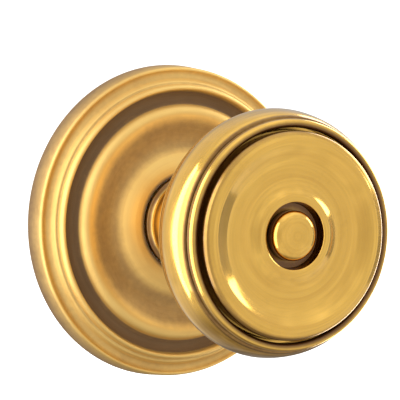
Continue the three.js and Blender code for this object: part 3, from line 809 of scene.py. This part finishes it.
def knob_core():
    """Cast core: shank with two flats and a ring groove, flare, and the post behind the face."""
    outline = [(0, -13.58), (6.9, -13.58), (7.4, -13.1), (7.4, -12.15), (6.5, -12.15), (6.5, -10.85),
               (7.4, -10.85), (7.4, 9), (7.7, 9.4)]
    outline += smooth([(7.7, 25.6), (8.3, 27.2), (12.1, 32.4), (12.98, 33.9), (12.7, 35), (6.9, 36.9),
                       (5.85, 38.2), (5.8, 40)], 8) + [(5.8, 48.98), (0, 48.98)]
    body = turned("core", eased(outline, 0.2, closed=False), 144)
    square = [(-4.15, -4.15), (4.15, -4.15), (4.15, 4.15), (-4.15, 4.15)]
    cuts = [flat_piece("tool", eased(square, 0.3), -16, 18.5, bevel=0)]
    for side in (-1, 1):
        edge = [(-10, side * 6.2), (10, side * 6.2), (10, side * 9), (-10, side * 9)]
        cuts.append(flat_piece("tool", edge[::side], -14, -0.8, bevel=0))
    cuts.append(turned("tool", [(0, 41), (2.1, 41), (2.1, 50), (0, 50)], 40))
    cuts.append(across("tool", [(0, 2), (2.5, 2), (2.5, 10), (0, 10)], 40))
    mesh = joined("knob_core", body, removed=cuts)
    piece("core_casting", mesh, "knob", "cast_zinc", ZINC, "knob_core")


def spindle_and_grub():
    """Square bar, and the threaded screw with a hexagon socket that grips it."""
    _, low, high = extent("spindle")
    mesh = bar("spindle", 3.99, low + 0.01, high - 0.01, nose=1.2)
    piece("square_spindle", mesh, "knob", "bright_steel", BRIGHT, "spindle")
    thread = [(0, 4.32), (1.5, 4.32)]
    for i in range(GRUB_THREADS):
        start = 4.6 + i * GRUB_PITCH
        thread += [(1.82, start), (2.08, start + 0.22), (2.08, start + 0.3)]
    body = across("grub", thread + [(1.9, 8.75), (1.75, 8.88), (0, 8.88)], 64)
    key = across("tool", [(0, 7.4), (1.44, 7.4), (1.44, 9.2), (0, 9.2)], 6)
    screw = joined("grub_screw", body, removed=[key])
    piece("set_screw", screw, "knob", "spring_steel", OILED, "grub_screw")


rose_clips()
spring_housing()
hub()
return_spring()
washer_and_circlip()
knob_core()
spindle_and_grub()


# ---- Stage, light and camera -------------------------------------------------------------------

VIEW_AZIMUTH = -30.7
VIEW_ELEVATION = 3.8
CAMERA_DISTANCE = 0.8577
AIM_RIGHT = 0.0077
AIM_UP = 0.0043
LENS = 360
KNOB_MIDDLE = Vector((0, -0.03, 0))
FLOOR_RADIUS = 14
FLOOR_HEIGHT = -0.09
PLAIN_WALL = (0.93, 0.92, 0.9)
ROOM = (  # azimuth, elevation, degrees off where it starts and where it is full, colour
    (-135, 0, 65, 15, (1.0, 0.98, 0.95)),  # behind the door on the left
    (25, 72, 45, 15, (1.3, 1.29, 1.27)),  # overhead
    (25, -48, 34, 12, (0.88, 0.86, 0.83)),  # low in front
    (140, -72, 50, 24, (0.24, 0.21, 0.17)),  # under the knob
    (-20, 0, 26, 8, (0.76, 0.74, 0.71)),  # behind the viewer
    (165, 5, 45, 15, (0.5, 0.48, 0.46)),  # straight behind the door
    (142, -22, 34, 14, (0.14, 0.12, 0.1)),  # low behind the door on the right
)


def aim(azimuth, elevation):
    """A direction from the knob: azimuth 0 is straight out of the door, and +90 is to its right."""
    a, e = math.radians(azimuth), math.radians(elevation)
    return Vector((math.sin(a) * math.cos(e), -math.cos(a) * math.cos(e), math.sin(e)))


def camera():
    """A long lens at the photo's angle."""
    back = aim(VIEW_AZIMUTH, VIEW_ELEVATION)
    a = math.radians(VIEW_AZIMUTH)
    right = Vector((math.cos(a), math.sin(a), 0))
    up = back.cross(right)
    lens = bpy.data.cameras.new("camera")
    lens.lens = LENS
    lens.sensor_width = 36
    lens.clip_start = 0.05
    lens.clip_end = 60
    obj = bpy.data.objects.new("camera", lens)
    bpy.context.scene.collection.objects.link(obj)
    obj.location = back * CAMERA_DISTANCE + right * AIM_RIGHT + up * AIM_UP
    obj.rotation_mode = "QUATERNION"
    obj.rotation_quaternion = (-back).to_track_quat("-Z", "Y")
    bpy.context.scene.camera = obj


def facing_knob(obj, azimuth, elevation, distance):
    """Places an object in a direction from the knob, turned to face it."""
    bpy.context.scene.collection.objects.link(obj)
    out = aim(azimuth, elevation)
    obj.location = KNOB_MIDDLE + out * distance
    obj.rotation_mode = "QUATERNION"
    obj.rotation_quaternion = out.to_track_quat("Z", "Y")


def span(angle, distance):
    """How wide a card must be to fill an angle, in degrees, at a distance."""
    return 2 * distance * math.tan(math.radians(angle / 2))


def softbox(name, azimuth, elevation, wide, tall, brightness, distance=1.1):
    """A rectangular light that fills wide by tall degrees, as seen from the knob."""
    light = bpy.data.lights.new(name, "AREA")
    light.shape = "RECTANGLE"
    light.size, light.size_y = span(wide, distance), span(tall, distance)
    light.energy = brightness * light.size * light.size_y * math.pi
    facing_knob(bpy.data.objects.new(name, light), azimuth, elevation, distance)


def flag(name, azimuth, elevation, wide, tall, distance=0.9):
    """A dark card that shows in the polished brass. The camera doesn't see it."""
    x, y = span(wide, distance) / 2, span(tall, distance) / 2
    mesh = bpy.data.meshes.new(name)
    mesh.from_pydata([(-x, -y, 0), (x, -y, 0), (x, y, 0), (-x, y, 0)], [], [(0, 1, 2, 3)])
    card = Finish(name, metallic=0.0, roughness=0.8)
    card.set("Base Color", card.mix(card.noise(6, 2), (0.24, 0.24, 0.24), (0.32, 0.31, 0.3)))
    mesh.materials.append(card.material)
    obj = bpy.data.objects.new(name, mesh)
    facing_knob(obj, azimuth, elevation, distance)
    obj.visible_camera = False
    obj.visible_shadow = False
    obj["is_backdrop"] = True


def floor():
    """A wide pale floor that the polished metal doesn't mirror."""
    bm = bmesh.new()
    bmesh.ops.create_circle(bm, cap_ends=True, radius=FLOOR_RADIUS, segments=96)
    mesh = bpy.data.meshes.new("floor")
    bm.to_mesh(mesh)
    bm.free()
    f = Finish("pale_floor", metallic=0.0, roughness=0.9)
    f.set("Base Color", f.mix(f.noise(3, 2), (0.93, 0.93, 0.93), (0.9, 0.9, 0.9)))
    f.shader.inputs["Emission Color"].default_value = (1, 1, 1, 1)
    f.shader.inputs["Emission Strength"].default_value = 0.5
    mesh.materials.append(f.material)
    obj = bpy.data.objects.new("floor", mesh)
    bpy.context.scene.collection.objects.link(obj)
    obj.location = (0, 0, FLOOR_HEIGHT)
    obj.visible_glossy = False
    obj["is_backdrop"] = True


def surroundings():
    """A pale, patchy room, brighter overhead and dimmer low down and behind the door."""
    world = bpy.data.worlds.new("studio")
    bpy.context.scene.world = world
    world.use_nodes = True
    g = Graph(world.node_tree)
    way = g.node("ShaderNodeTexCoord").outputs["Generated"]

    def towards(azimuth, elevation, start, full):
        """0 outside `start` degrees from a direction, rising to 1 inside `full` degrees."""
        sizes = {0: way, 1: aim(azimuth, elevation)}
        cosine = g.node("ShaderNodeVectorMath", sizes, operation="DOT_PRODUCT").outputs["Value"]
        near, far = math.cos(math.radians(full)), math.cos(math.radians(start))
        return g.remap(cosine, far, near, kind="SMOOTHSTEP")

    tone = PLAIN_WALL
    for azimuth, elevation, start, full, colour in ROOM:
        tone = g.mix(towards(azimuth, elevation, start, full), tone, colour)
    soft = {"Vector": way, "Scale": 3.6, "Detail": 3.0, "Distortion": 1.0}
    patches = g.remap(g.node("ShaderNodeTexNoise", soft).outputs["Fac"], 0.35, 0.65, 0.0, 0.45)
    tone = g.mix(patches, tone, (0.58, 0.56, 0.53))
    g.tree.links.new(tone, g.tree.nodes["Background"].inputs["Color"])
    g.tree.nodes["Background"].inputs["Strength"].default_value = 1.0


camera()
surroundings()
floor()
softbox("left_strip", -114, 2, 24, 92, 4.2)
softbox("left_softbox", -74, 2, 52, 92, 1.8)
softbox("right_softbox", 110, 0, 30, 84, 3.6)
softbox("right_edge", 82, 6, 24, 42, 3.6)
flag("right_flag", 83, -5, 27, 27)
bpy.context.scene.view_settings.view_transform = "Standard"

boxes = {"cad": CAD_BOX, "visual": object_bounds()}
{name: [list(corner) for corner in box] for name, box in boxes.items()}
